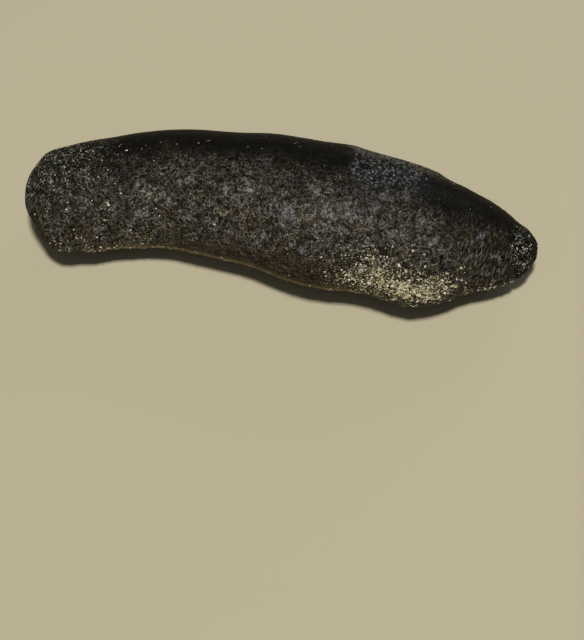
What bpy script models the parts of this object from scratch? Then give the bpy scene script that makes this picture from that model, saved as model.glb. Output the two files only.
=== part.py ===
"""A sea cucumber at life size, lying on its sole with its front end at -X.

The body is one closed form parted by thin cuts into lengths, each a back over a sole. The soles carry
the tube feet, the mouth with its ring of tentacles sits under the front end, and the anus is behind.
"""

import math
import random

import bmesh
import bpy
from mathutils import Matrix, Vector

# Driving dimensions, in metres
BODY_LENGTH = 0.149
FRONT_ROUNDING = 0.012
REAR_ROUNDING = 0.004
SOLE_LIFT = 0.0018
GAP = 0.0003

# Stations down the body: distance from the front tip, sideways place of the middle line, half
# width, height of the back, and height of the sole
STATIONS = (
    (0.000, 0.0015, 0.0155, 0.0230, 0.0090),
    (0.011, 0.0040, 0.0160, 0.0250, 0.0060),
    (0.024, 0.0065, 0.0170, 0.0265, 0.0025),
    (0.042, 0.0080, 0.0180, 0.0285, SOLE_LIFT),
    (0.060, 0.0055, 0.0190, 0.0310, SOLE_LIFT),
    (0.080, 0.0005, 0.0215, 0.0330, SOLE_LIFT),
    (0.098, -0.0040, 0.0210, 0.0330, SOLE_LIFT),
    (0.114, -0.0080, 0.0210, 0.0305, SOLE_LIFT),
    (0.128, -0.0090, 0.0155, 0.0260, 0.0020),
    (0.138, -0.0100, 0.0110, 0.0215, 0.0035),
    (0.145, -0.0105, 0.0070, 0.0185, 0.0050),
    (0.149, -0.0105, 0.0045, 0.0170, 0.0060),
)
WIDEST_SHARE = 0.45  # of the height from sole to back, where the flank stands out furthest
SOLE_FLATNESS = 1.25  # above 1, so that the underside is flat out to six tenths of its half width
FLATNESS_EASE = 0.035  # from either tip, over which the round section of the ends turns into the flat one

# Cuts between the lengths, from the front tip, and the level that parts each back from its sole
LENGTH_CUTS = (0.022, 0.048, 0.074, 0.100, 0.124)
ANAL_CUT = 0.145
SOLE_CUT_HEIGHT = 0.010
LENGTH_NAMES = ("front", "trunk_1", "trunk_2", "trunk_3", "trunk_4", "rear")

# Mesh of the body
AROUND = 48
FRONT_RINGS = 7
REAR_RINGS = 4
RING_STEP = 0.0045

# Tube feet, in rows at shares of the half width: a middle band, two side bands and the two margins
FOOT_ROWS = (-0.68, -0.50, -0.34, -0.10, 0.10, 0.34, 0.50, 0.68)
FOOT_SPACING = 0.0048
FIRST_FOOT = 0.0165
LAST_FOOT = 0.136
FOOT_SIDES = 6
FOOT_DISC_RADIUS = 0.0008
FOOT_DISC_THICKNESS = 0.0004
FOOT_STALK_RADIUS = 0.00048
FOOT_ROOT_RADIUS = 0.00060
FOOT_ROOT_DEPTH = 0.0014
FOOT_CLEAR_OF_CUT = 0.0011
FOOT_LEAN = 0.0004
FOOT_STRAY_ALONG = 0.0006
FOOT_STRAY_ACROSS = 0.02  # of the half width

# Mouth, under the front end and tipped towards it
MOUTH_PLACE = 0.0105
MOUTH_TILT = math.radians(15)
POCKET_RADIUS = 0.0062
POCKET_DEPTH = 0.0016
LIP_MAJOR_RADIUS = 0.0048
LIP_MINOR_RADIUS = 0.0011
LIP_STAND = 0.0006
CROWN_RADIUS = 0.0033
TENTACLES = 20
TENTACLE_SIDES = 6
TENTACLE_RADIUS = 0.00038
SHIELD_RADIUS = 0.0012
SHIELD_THICKNESS = 0.0009
OUTER_REACH = 0.0074
INNER_REACH = 0.0046
KNEE_DROP = 0.0008
KNEE_ABOVE_SHIELD = 0.0012
SHIELD_STRAY_UP = 0.0004
FLOOR_CLEARANCE = 0.0006

# Anus, a puckered pit in the rear tip
PIT_RADIUS = 0.0020
PUCKER_RADIUS = 0.0013
PUCKERS = 9
PIT_DEPTH = 0.0028
PIT_END_RADIUS = 0.0003
PIT_STAND = 0.0002  # of the cutter, clear of the tip

random_draw = random.Random(7)


def station(place):
    """(middle, half width, back, sole) at a distance from the front tip, smooth through the stations."""
    place = min(max(place, STATIONS[0][0]), STATIONS[-1][0])
    after = next(i for i in range(1, len(STATIONS)) if place <= STATIONS[i][0])
    left, right = STATIONS[after - 1], STATIONS[after]
    before_left = STATIONS[max(after - 2, 0)]
    after_right = STATIONS[min(after + 1, len(STATIONS) - 1)]
    step = right[0] - left[0]
    t = (place - left[0]) / step
    values = []
    for column in range(1, 5):
        slope_left = (right[column] - before_left[column]) / (right[0] - before_left[0]) * step
        slope_right = (after_right[column] - left[column]) / (after_right[0] - left[0]) * step
        values.append(
            (2 * t**3 - 3 * t**2 + 1) * left[column]
            + (t**3 - 2 * t**2 + t) * slope_left
            + (3 * t**2 - 2 * t**3) * right[column]
            + (t**3 - t**2) * slope_right
        )
    return values


def heading(place):
    """Angle of the middle line in plan."""
    reach = 0.001
    ahead, behind = station(place + reach)[0], station(place - reach)[0]
    return math.atan2(ahead - behind, 2 * reach)


def fullness(place):
    """Share of the full section that is left where the two ends round off."""
    front = min(place / FRONT_ROUNDING, 1)
    rear = min((BODY_LENGTH - place) / REAR_ROUNDING, 1)
    return math.sqrt(max(1 - (1 - front) ** 2, 0)) * math.sqrt(max(1 - (1 - rear) ** 2, 0))


def flatness(place):
    """How far the underside is flattened: not at all at the tips, and in full along the trunk."""
    share = min(place / FLATNESS_EASE, (BODY_LENGTH - place) / FLATNESS_EASE, 1)
    return 1 + (SOLE_FLATNESS - 1) * share


def on_body(place, angle):
    """Point of the body's surface, with the angle measured round the section from the +Y flank upwards."""
    middle, half_width, back, sole = station(place)
    full = fullness(place)
    widest = sole + WIDEST_SHARE * (back - sole)
    across = half_width * full * math.cos(angle)
    height = math.sin(angle)
    if height > 0:
        z = widest + (back - widest) * full * height
    else:
        z = widest - (widest - sole) * full * min(-flatness(place) * height, 1)
    turn = heading(place)
    return Vector((place - math.sin(turn) * across, middle + math.cos(turn) * across, z))


def under_body(place, share):
    """Point of the underside at a share of the half width."""
    return on_body(place, -math.acos(share))


def ring_places():
    """Distances of the mesh's rings from the front tip: close where the ends round off, even between."""
    quarter = math.pi / 2
    front = [FRONT_ROUNDING * (1 - math.cos(quarter * i / FRONT_RINGS)) for i in range(FRONT_RINGS)]
    rear = [REAR_ROUNDING * (1 - math.cos(quarter * i / REAR_RINGS)) for i in range(REAR_RINGS)]
    straight = BODY_LENGTH - FRONT_ROUNDING - REAR_ROUNDING
    steps = round(straight / RING_STEP)
    between = [FRONT_ROUNDING + straight * i / steps for i in range(steps + 1)]
    return front + between + [BODY_LENGTH - back for back in reversed(rear)]


def body_form():
    """The whole body: a sphere with its poles at the two tips, each ring moved to its place and shape."""
    places = ring_places()
    form = bmesh.new()
    bmesh.ops.create_uvsphere(form, u_segments=AROUND, v_segments=len(places) - 1, radius=1)
    for vertex in form.verts:
        from_pole = math.acos(min(max(vertex.co.z, -1), 1))
        place = places[round(from_pole / math.pi * (len(places) - 1))]
        vertex.co = on_body(place, math.atan2(vertex.co.y, vertex.co.x))
    bmesh.ops.recalc_face_normals(form, faces=form.faces)
    return form


def cut_off(form, point, direction):
    """Cuts away what lies beyond a plane, and closes the cut."""
    everything = form.verts[:] + form.edges[:] + form.faces[:]
    cut = bmesh.ops.bisect_plane(
        form, geom=everything, plane_co=point, plane_no=direction, clear_outer=True
    )
    edges = [piece for piece in cut["geom_cut"] if isinstance(piece, bmesh.types.BMEdge)]
    bmesh.ops.edgeloop_fill(form, edges=edges)


def cut_across(form, place, side):
    """Cuts the body square to its middle line, half a gap short of the place, and keeps the other side."""
    turn = heading(place)
    direction = Vector((math.cos(turn), math.sin(turn), 0)) * side
    point = Vector((place, station(place)[0], 0)) - direction * GAP / 2
    cut_off(form, point, direction)


def cut_level(form, side):
    """Keeps the sole where side is 1, or the back where it is -1."""
    up = Vector((0, 0, side))
    cut_off(form, Vector((0, 0, SOLE_CUT_HEIGHT)) - up * GAP / 2, up)


def made_material(name, colour, roughness):
    material = bpy.data.materials.new(name)
    material.use_nodes = True
    shader = material.node_tree.nodes["Principled BSDF"]
    shader.inputs["Base Color"].default_value = (*colour, 1)
    shader.inputs["Roughness"].default_value = roughness
    shader.inputs["Metallic"].default_value = 0
    return material


def made_object(name, form, collection, material=None):
    bmesh.ops.recalc_face_normals(form, faces=form.faces)
    if form.calc_volume(signed=True) < 0:
        bmesh.ops.reverse_faces(form, faces=form.faces)
    mesh = bpy.data.meshes.new(name)
    form.to_mesh(mesh)
    form.free()
    mesh.shade_smooth()
    mesh.set_sharp_from_angle(angle=math.radians(40))
    if material:
        mesh.materials.append(material)
    made = bpy.data.objects.new(name, mesh)
    collection.objects.link(made)
    return made


def made_collection(name):
    collection = bpy.data.collections.new(name)
    bpy.context.scene.collection.children.link(collection)
    return collection


def keep_largest(mesh):
    """Removes every closed surface of a mesh but the one with the most faces."""
    form = bmesh.new()
    form.from_mesh(mesh)
    left = set(form.faces)
    surfaces = []
    while left:
        found = {left.pop()}
        edge_of_search = list(found)
        while edge_of_search:
            face = edge_of_search.pop()
            near = {other for edge in face.edges for other in edge.link_faces} & left
            left -= near
            found |= near
            edge_of_search += near
        surfaces.append(found)
    surfaces.sort(key=len)
    loose = [face for surface in surfaces[:-1] for face in surface]
    bmesh.ops.delete(form, geom=loose, context="FACES")
    form.to_mesh(mesh)
    form.free()


def join_pieces(carrier, pieces):
    """Fuses closed pieces into the object that they grow from, and removes them."""
    union = carrier.modifiers.new("fused pieces", "BOOLEAN")
    union.operation = "UNION"
    union.solver = "MANIFOLD"
    union.operand_type = "COLLECTION"
    union.collection = pieces
    bpy.context.view_layer.update()
    graph = bpy.context.evaluated_depsgraph_get()
    fused = bpy.data.meshes.new_from_object(carrier.evaluated_get(graph))
    carrier.modifiers.remove(union)
    skin = carrier.data.materials[0]
    carrier.data = fused
    keep_largest(fused)
    fused.materials.clear()
    fused.materials.append(skin)
    for piece in list(pieces.objects):
        bpy.data.objects.remove(piece)
    bpy.data.collections.remove(pieces)


def strung_form(rings, sides):
    """A closed form with a round section: a sphere whose rings take the given centres, axes and radii.

    The first and last entries are its two poles, which have no radius.
    """
    form = bmesh.new()
    bmesh.ops.create_uvsphere(form, u_segments=sides, v_segments=len(rings) - 1, radius=1)
    for vertex in form.verts:
        from_pole = math.acos(min(max(vertex.co.z, -1), 1))
        centre, axis, radius = rings[round(from_pole / math.pi * (len(rings) - 1))]
        angle = math.atan2(vertex.co.y, vertex.co.x)
        flat = Vector((math.cos(angle), math.sin(angle), 0)) * radius
        vertex.co = centre + Vector((0, 0, 1)).rotation_difference(axis) @ flat
    return form


def foot_form(root):
    """One tube foot: a stalk from inside the sole down to a flat sucker disc on the ground."""
    lean = Vector((random_draw.uniform(-1, 1), random_draw.uniform(-1, 1), 0)) * FOOT_LEAN
    size = random_draw.uniform(0.88, 1.12)
    up = Vector((0, 0, 1))
    ground = Vector((root.x, root.y, 0)) + lean
    top = root + up * FOOT_ROOT_DEPTH
    rings = (
        (top, up, 0),
        (top - up * FOOT_ROOT_DEPTH / 7, up, FOOT_ROOT_RADIUS * size),
        (ground + up * FOOT_DISC_THICKNESS * 2, up, FOOT_STALK_RADIUS * size),
        (ground, up, FOOT_DISC_RADIUS * size),
        (ground, up, 0),
    )
    return strung_form(rings, FOOT_SIDES)


def foot_roots(start, end, mouth):
    """Where the feet of one length grow, in staggered rows along it."""
    roots = []
    count = round((LAST_FOOT - FIRST_FOOT) / FOOT_SPACING)
    kept_clear = OUTER_REACH + SHIELD_RADIUS + 2 * FOOT_DISC_RADIUS
    for row, share in enumerate(FOOT_ROWS):
        for i in range(count + 1):
            place = FIRST_FOOT + FOOT_SPACING * (i + 0.5 * (row % 2))
            place += random_draw.uniform(-1, 1) * FOOT_STRAY_ALONG
            share_here = share + random_draw.uniform(-1, 1) * FOOT_STRAY_ACROSS
            root = under_body(place, share_here)
            inside = start + FOOT_CLEAR_OF_CUT < place < end - FOOT_CLEAR_OF_CUT
            clear_of_mouth = (root.xy - mouth.xy).length > kept_clear
            if inside and place < LAST_FOOT and clear_of_mouth:
                roots.append(root)
    return roots


def add_feet(sole, start, end, mouth):
    """Grows the tube feet of one length out of its sole."""
    feet = made_collection(f"{sole.name} feet")
    for number, root in enumerate(foot_roots(start, end, mouth)):
        made_object(f"{sole.name} foot {number}", foot_form(root), feet)
    join_pieces(sole, feet)


def mouth_frame():
    """Matrix whose origin is the mouth's middle, on the underside, and whose Z points out of the mouth."""
    middle = under_body(MOUTH_PLACE, 0)
    outward = Vector((-math.sin(MOUTH_TILT), 0, -math.cos(MOUTH_TILT)))
    turn = Vector((0, 0, 1)).rotation_difference(outward)
    return Matrix.Translation(middle) @ turn.to_matrix().to_4x4()


def cut_with(target, cutter):
    """Cuts one closed form out of another."""
    cutter.hide_render = True
    cutter.display_type = "WIRE"
    difference = target.modifiers.new(cutter.name, "BOOLEAN")
    difference.operation = "DIFFERENCE"
    difference.object = cutter


def add_mouth_pocket(sole, frame, cutters):
    """The round hollow in the front sole that the lip and the tentacles sit in."""
    depth = SOLE_CUT_HEIGHT
    form = bmesh.new()
    bmesh.ops.create_cone(
        form, cap_ends=True, segments=32, radius1=POCKET_RADIUS, radius2=POCKET_RADIUS, depth=depth
    )
    bmesh.ops.translate(form, verts=form.verts, vec=(0, 0, depth / 2 - POCKET_DEPTH))
    bmesh.ops.transform(form, verts=form.verts, matrix=frame)
    cut_with(sole, made_object("mouth pocket", form, cutters))


def add_lip(frame, collection, material):
    """A fleshy ring in the pocket, flat where it meets the pocket's floor."""
    floor = -POCKET_DEPTH + GAP
    middle = LIP_STAND - LIP_MINOR_RADIUS
    bpy.ops.mesh.primitive_torus_add(
        major_radius=LIP_MAJOR_RADIUS, minor_radius=LIP_MINOR_RADIUS, major_segments=32, minor_segments=8
    )
    lip = bpy.context.active_object
    lip.name = "mouth_lip"
    for vertex in lip.data.vertices:
        vertex.co.z += middle
        if vertex.co.z < middle - LIP_MINOR_RADIUS / 2:
            vertex.co.z = floor
    lip.data.transform(frame)
    lip.data.materials.append(material)
    lip.data.shade_smooth()
    for holder in lip.users_collection:
        holder.objects.unlink(lip)
    collection.objects.link(lip)


def tentacle_form(number, frame):
    """One tentacle: out of the mouth, over the lip, and down to a broad shield just off the ground."""
    angle = 2 * math.pi * (number + random_draw.uniform(-0.12, 0.12)) / TENTACLES
    reach = (INNER_REACH if number % 2 else OUTER_REACH) * random_draw.uniform(0.96, 1.04)
    size = random_draw.uniform(0.9, 1.1)
    outward = Vector((math.cos(angle), math.sin(angle), 0))
    root_radius = CROWN_RADIUS - TENTACLE_RADIUS * 2
    over_lip = LIP_STAND + TENTACLE_RADIUS + GAP
    stalk = [
        frame @ (outward * root_radius * 0.8 + Vector((0, 0, -POCKET_DEPTH + 2 * GAP))),
        frame @ (outward * root_radius + Vector((0, 0, -POCKET_DEPTH + 4 * GAP))),
        frame @ (outward * (LIP_MAJOR_RADIUS - LIP_MINOR_RADIUS) + Vector((0, 0, over_lip))),
    ]
    sideways = (frame.to_3x3() @ outward).xy.normalized()
    foot = frame.to_translation().xy + sideways * reach
    shield_bottom = FLOOR_CLEARANCE + random_draw.uniform(0, SHIELD_STRAY_UP)
    shield_top = shield_bottom + SHIELD_THICKNESS * size
    knee_height = max(shield_top + KNEE_ABOVE_SHIELD, stalk[-1].z - KNEE_DROP)
    knee = foot.lerp(frame.to_translation().xy + sideways * LIP_MAJOR_RADIUS, 0.35)
    stalk.append(Vector((*knee, knee_height)))
    up = Vector((0, 0, 1))
    rings = []
    for i, point in enumerate(stalk):
        ahead = stalk[i + 1] if i + 1 < len(stalk) else Vector((*foot, shield_top))
        axis = (stalk[max(i - 1, 0)] - ahead).normalized()
        rings.append((point, axis, TENTACLE_RADIUS if i else 0))
    rings += [
        (Vector((*foot, shield_top)), up, TENTACLE_RADIUS * 1.2),
        (Vector((*foot, shield_top - SHIELD_THICKNESS * 0.35)), up, SHIELD_RADIUS * size),
        (Vector((*foot, shield_bottom)), up, SHIELD_RADIUS * 0.7 * size),
        (Vector((*foot, shield_bottom)), up, 0),
    ]
    return strung_form(rings, TENTACLE_SIDES)


def add_tentacles(frame, collection, material):
    """The disc round the mouth with its ring of tentacles."""
    thickness = POCKET_DEPTH - 2 * GAP
    form = bmesh.new()
    bmesh.ops.create_cone(
        form, cap_ends=True, segments=20, radius1=CROWN_RADIUS, radius2=CROWN_RADIUS, depth=thickness
    )
    bmesh.ops.translate(form, verts=form.verts, vec=(0, 0, thickness / 2 - POCKET_DEPTH + GAP))
    bmesh.ops.transform(form, verts=form.verts, matrix=frame)
    crown = made_object("tentacle_crown", form, collection, material)
    tentacles = made_collection("tentacles")
    for number in range(TENTACLES):
        made_object(f"tentacle {number}", tentacle_form(number, frame), tentacles)
    join_pieces(crown, tentacles)


def add_anal_cap(collection, cutters, material):
    """The rear tip, with the pit of the anus in its end."""
    form = body_form()
    cut_across(form, ANAL_CUT, -1)
    cap = made_object("anal_cap", form, collection, material)
    tip = on_body(BODY_LENGTH, 0)
    turn = heading(BODY_LENGTH)
    inward = Vector((-math.cos(turn), -math.sin(turn), 0))
    pit = bmesh.new()
    bmesh.ops.create_cone(
        pit, cap_ends=True, segments=2 * PUCKERS, radius1=PIT_RADIUS, radius2=PIT_END_RADIUS, depth=PIT_DEPTH
    )
    for vertex in pit.verts:
        pucker = round(math.atan2(vertex.co.y, vertex.co.x) / math.pi * PUCKERS) % 2
        if vertex.co.z < 0 and pucker:
            vertex.co.xy *= PUCKER_RADIUS / PIT_RADIUS
    bmesh.ops.translate(pit, verts=pit.verts, vec=(0, 0, PIT_DEPTH / 2 - PIT_STAND))
    aim = Vector((0, 0, 1)).rotation_difference(inward).to_matrix().to_4x4()
    bmesh.ops.transform(pit, verts=pit.verts, matrix=Matrix.Translation(tip) @ aim)
    cut_with(cap, made_object("anal pit", pit, cutters))


def centre_on_origin(objects):
    """Moves everything so that the box round the body stands on the origin."""
    shown = [made for made in objects if not made.hide_render]
    points = [vertex.co for made in shown for vertex in made.data.vertices]
    middle_x = (min(p.x for p in points) + max(p.x for p in points)) / 2
    middle_y = (min(p.y for p in points) + max(p.y for p in points)) / 2
    for made in objects:
        made.data.transform(Matrix.Translation((-middle_x, -middle_y, 0)))


def main():
    for thing in list(bpy.data.objects):
        bpy.data.objects.remove(thing)
    parts = made_collection("sea cucumber")
    cutters = made_collection("cutters")
    back_skin = made_material("back skin", (0.035, 0.028, 0.026), 0.35)
    sole_skin = made_material("sole skin", (0.105, 0.080, 0.055), 0.5)
    lip_skin = made_material("lip skin", (0.060, 0.045, 0.038), 0.45)
    tentacle_skin = made_material("tentacle skin", (0.075, 0.060, 0.048), 0.5)
    anal_skin = made_material("anal skin", (0.015, 0.013, 0.013), 0.4)

    frame = mouth_frame()
    mouth = frame.to_translation()
    edges = (0, *LENGTH_CUTS, ANAL_CUT)
    for name, start, end in zip(LENGTH_NAMES, edges, edges[1:]):
        for half, side, skin in (("back", -1, back_skin), ("sole", 1, sole_skin)):
            form = body_form()
            if start > 0:
                cut_across(form, start, -1)
            cut_across(form, end, 1)
            cut_level(form, side)
            length = made_object(f"{name}_{half}", form, parts, skin)
            if half == "sole":
                add_feet(length, start, end, mouth)
                if name == "front":
                    add_mouth_pocket(length, frame, cutters)
    add_lip(frame, parts, lip_skin)
    add_tentacles(frame, parts, tentacle_skin)
    add_anal_cap(parts, cutters, anal_skin)
    centre_on_origin([*parts.objects, *cutters.objects])


main()
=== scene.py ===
"""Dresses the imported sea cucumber: skin, tube feet, mouth, tentacles and the coral sand stuck to it."""

import math
import random

import bmesh
import bpy
import numpy as np
from mathutils import Matrix, Vector, noise


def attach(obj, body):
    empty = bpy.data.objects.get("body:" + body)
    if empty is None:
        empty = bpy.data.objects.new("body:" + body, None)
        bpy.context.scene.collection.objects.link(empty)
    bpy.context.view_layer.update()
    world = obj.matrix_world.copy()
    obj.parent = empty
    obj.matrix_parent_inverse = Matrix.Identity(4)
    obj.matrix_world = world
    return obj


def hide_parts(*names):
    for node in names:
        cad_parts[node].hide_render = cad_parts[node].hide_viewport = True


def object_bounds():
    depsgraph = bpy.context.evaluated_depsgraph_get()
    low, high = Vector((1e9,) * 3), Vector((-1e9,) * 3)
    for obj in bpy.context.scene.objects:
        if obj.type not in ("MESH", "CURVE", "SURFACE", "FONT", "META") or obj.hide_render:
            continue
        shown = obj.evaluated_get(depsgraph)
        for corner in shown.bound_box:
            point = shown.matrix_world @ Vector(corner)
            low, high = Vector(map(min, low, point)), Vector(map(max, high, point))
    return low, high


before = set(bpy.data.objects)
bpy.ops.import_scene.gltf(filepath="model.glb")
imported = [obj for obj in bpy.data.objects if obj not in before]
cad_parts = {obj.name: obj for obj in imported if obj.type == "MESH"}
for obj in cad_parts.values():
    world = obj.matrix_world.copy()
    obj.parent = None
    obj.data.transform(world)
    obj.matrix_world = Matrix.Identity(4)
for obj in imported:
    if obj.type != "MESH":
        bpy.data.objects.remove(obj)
cad_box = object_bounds()

# Blender's own starting objects, where they are there
for startup_name in ("Cube", "Camera", "Light"):
    if startup_name in bpy.data.objects:
        bpy.data.objects.remove(bpy.data.objects[startup_name])


# Body wall.
# The real one is a single tube of tough, wet, leathery skin, near black with fine lilac-grey threads
# over low cobbles, and paler olive on the sole. Here it is one closed loft through the body's sections,
# without a seam, and it stands for all the solids' backs and soles.

MM = 0.001
BODY_LENGTH = 0.149
FRONT_ROUNDING = 0.012
REAR_ROUNDING = 0.004
WIDEST_SHARE = 0.45
SOLE_FLATNESS = 1.25
FLATNESS_EASE = 0.035
TURN_REACH = 0.007  # each way along the body, over which its heading is taken
# Distance from the front tip, sideways place of the middle line, half width, back, and sole
STATIONS = np.array((
    (0.000, 0.0015, 0.0155, 0.0230, 0.0090),
    (0.011, 0.0040, 0.0160, 0.0250, 0.0060),
    (0.024, 0.0065, 0.0170, 0.0265, 0.0025),
    (0.042, 0.0078, 0.0181, 0.0285, 0.0018),
    (0.060, 0.0051, 0.0192, 0.0310, 0.0018),
    (0.070, 0.0034, 0.0203, 0.0322, 0.0018),
    (0.080, 0.0003, 0.0214, 0.0330, 0.0018),
    (0.088, -0.0019, 0.0218, 0.0332, 0.0018),
    (0.098, -0.0037, 0.0211, 0.0330, 0.0018),
    (0.106, -0.0057, 0.0209, 0.0320, 0.0018),
    (0.114, -0.0083, 0.0210, 0.0305, 0.0018),
    (0.121, -0.0087, 0.0189, 0.0284, 0.0018),
    (0.128, -0.0090, 0.0158, 0.0260, 0.0020),
    (0.138, -0.0104, 0.0115, 0.0215, 0.0035),
    (0.145, -0.0110, 0.0069, 0.0185, 0.0050),
    (0.149, -0.0108, 0.0045, 0.0170, 0.0060),
))
FRONT_RINGS = 44
REAR_RINGS = 18
PIT_RINGS = 12
RING_STEP = 0.0004
BACK_COLUMNS = 206
SOLE_COLUMNS = 40
BACK_STARTS = -50  # degrees round the section, where the sole's columns end and the back's begin
SKIN_DEPTH = 0.10  # mm that the mean skin lies inside the solids, so that its cobbles reach them
LEATHER_SIZE = 2.3  # mm, and the heights below too
LEATHER_HEIGHT = 0.05
COBBLE_SIZE = 1.15
COBBLE_HEIGHT = 0.13
WRINKLE_HEIGHT = 0.10
LONG_WRINKLE_HEIGHT = 0.13
REAR_FOLD_PLACE = 142.4
REAR_FOLD_DEPTH = 0.35
PUCKER_DEPTH = 0.22

# Soft lumps and hollows of the muscle: place and spread in mm, angle and spread in degrees, height in mm
LUMPS = (
    (0.6, 1.8, 196, 34, -0.8),
    (6.5, 3.4, 195, 26, 1.0),
    (17.0, 5.0, 195, 26, 0.8),
    (5.0, 3.0, 8, 30, -0.7),
    (92.0, 5.0, 8, 26, 0.7),
    (119.0, 3.0, 8, 26, 0.5),
    (140.0, 4.0, 195, 26, 0.3),
    (147.5, 1.6, 160, 60, -0.4),
)

# Paler lilac marks on the back: place in mm, angle in degrees, half length across the body and half
# width along it in mm, and lean in degrees
LILAC_MARKS = (
    (33.0, 135, 1.2, 2.2, 0), (33.0, 106, 1.0, 1.0, 0), (43.0, 123, 1.1, 0.8, 0),
    (50.0, 136, 0.9, 0.9, 0), (59.5, 106, 1.7, 0.8, 10), (64.5, 119, 1.3, 0.7, 30),
    (63.0, 144, 1.4, 0.8, 20), (73.5, 140, 1.4, 0.8, 0), (74.5, 108, 0.8, 0.7, 0),
    (79.0, 116, 2.1, 2.0, 20), (84.5, 94, 1.3, 0.8, -30), (84.5, 141, 1.2, 0.9, 0),
    (88.0, 102, 1.2, 0.7, -20), (101.5, 96, 1.6, 1.2, 30), (102.5, 86, 1.6, 0.9, 0),
    (107.5, 114, 1.4, 0.9, 0), (108.5, 78, 1.5, 1.2, 0), (114.0, 96, 1.5, 0.8, -30),
    (118.0, 111, 2.2, 0.7, -35), (122.6, 114, 1.6, 0.5, -30), (131.0, 100, 2.0, 0.55, -25),
    (132.2, 99, 1.7, 0.35, -25), (125.0, 158, 1.4, 0.6, -20),
)

ANUS_RADIUS_SHARE = 0.42  # of the rear cap's section, at the rim of the anus
ANUS_DEPTH = 0.0028
ANUS_PUCKERS = 9

MOUTH_PLACE = 0.0105
MOUTH_TILT = math.radians(15)
POCKET_RADIUS = 0.0062
POCKET_DEPTH = 0.0015


def station(place):
    """Middle, half width, back and sole at each distance from the front tip, smooth between stations."""
    place = np.clip(place, 0, BODY_LENGTH)
    after = np.clip(np.searchsorted(STATIONS[:, 0], place), 1, len(STATIONS) - 1)
    left, right = STATIONS[after - 1], STATIONS[after]
    before_left = STATIONS[np.maximum(after - 2, 0)]
    after_right = STATIONS[np.minimum(after + 1, len(STATIONS) - 1)]
    step = right[:, :1] - left[:, :1]
    t = (place[:, None] - left[:, :1]) / step
    slope_left = (right - before_left)[:, 1:] / (right - before_left)[:, :1] * step
    slope_right = (after_right - left)[:, 1:] / (after_right - left)[:, :1] * step
    values = (2 * t**3 - 3 * t**2 + 1) * left[:, 1:] + (t**3 - 2 * t**2 + t) * slope_left
    values += (3 * t**2 - 2 * t**3) * right[:, 1:] + (t**3 - t**2) * slope_right
    return values.T


def on_body(place, degrees):
    """Points of the smooth body, with the angle measured round the section from the +Y flank upwards."""
    place, degrees = np.broadcast_arrays(place, degrees)
    shape = place.shape
    place, angle = place.ravel(), np.radians(degrees.ravel())
    middle, half_width, back, sole = station(place)
    ahead, behind = np.minimum(place + TURN_REACH, BODY_LENGTH), np.maximum(place - TURN_REACH, 0)
    turn = np.arctan2(station(ahead)[0] - station(behind)[0], ahead - behind)
    front = np.minimum(place / FRONT_ROUNDING, 1)
    rear = np.minimum((BODY_LENGTH - place) / REAR_ROUNDING, 1)
    full = np.sqrt(np.maximum(1 - (1 - front) ** 2, 0) * np.maximum(1 - (1 - rear) ** 2, 0))
    eased = np.clip(np.minimum(place, BODY_LENGTH - place) / FLATNESS_EASE, 0, 1)
    flat = 1 + (SOLE_FLATNESS - 1) * eased
    widest = sole + WIDEST_SHARE * (back - sole)
    across = half_width * full * np.cos(angle)
    height = np.sin(angle)
    above = widest + (back - widest) * full * height
    below = widest - (widest - sole) * full * np.minimum(-flat * height, 1)
    z = np.where(height > 0, above, below)
    points = np.stack((place - np.sin(turn) * across, middle + np.cos(turn) * across, z), axis=-1)
    return points.reshape(*shape, 3)


def eased_step(value, low, high):
    """0 at low and 1 at high, smooth between; low may be above high."""
    t = np.clip((value - low) / (high - low), 0, 1)
    return t * t * (3 - 2 * t)


def grain_at(points, size, shift=0.0):
    """Soft noise from -1 to 1 with swells of about that size, at points in mm."""
    scaled = points.reshape(-1, 3) / size + shift
    return np.array([noise.noise(p) for p in scaled.tolist()]).reshape(points.shape[:-1])


def cobbles_at(points, size):
    """0 in the creases between cells of about that size, rising to 1 on their tops."""
    tops = []
    for p in (points.reshape(-1, 3) / size).tolist():
        near = noise.voronoi(p)[0]
        tops.append(min((near[1] - near[0]) * 2.6, 1))
    tops = np.array(tops).reshape(points.shape[:-1])
    return tops * (2 - tops)


quarter = math.pi / 2
front_places = FRONT_ROUNDING * (1 - np.cos(quarter * np.arange(FRONT_RINGS) / FRONT_RINGS))
trunk_length = BODY_LENGTH - FRONT_ROUNDING - REAR_ROUNDING
trunk_steps = round(trunk_length / RING_STEP)
trunk_places = FRONT_ROUNDING + trunk_length * np.arange(trunk_steps) / trunk_steps
rim_turn = math.asin(ANUS_RADIUS_SHARE)
rear_turns = rim_turn + (quarter - rim_turn) * np.arange(REAR_RINGS, -1, -1) / REAR_RINGS
rear_places = BODY_LENGTH - REAR_ROUNDING * (1 - np.cos(rear_turns))
ring_places = np.concatenate((front_places, trunk_places, rear_places))
columns = np.concatenate((
    np.linspace(-90, BACK_STARTS, SOLE_COLUMNS // 2, endpoint=False),
    np.linspace(BACK_STARTS, 180 - BACK_STARTS, BACK_COLUMNS, endpoint=False),
    np.linspace(180 - BACK_STARTS, 270, SOLE_COLUMNS // 2, endpoint=False),
))
smooth_skin = on_body(ring_places[:, None], columns[None, :])

# The part stands with the middle of its box on the origin, so the stations are moved there too
low_corner, high_corner = smooth_skin.min(axis=(0, 1)), smooth_skin.max(axis=(0, 1))
cad_middle = (Vector(cad_box[0]) + Vector(cad_box[1])) / 2
shift = np.array((
    cad_middle.x - (low_corner[0] + high_corner[0]) / 2,
    cad_middle.y - (low_corner[1] + high_corner[1]) / 2,
    0,
))

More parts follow.
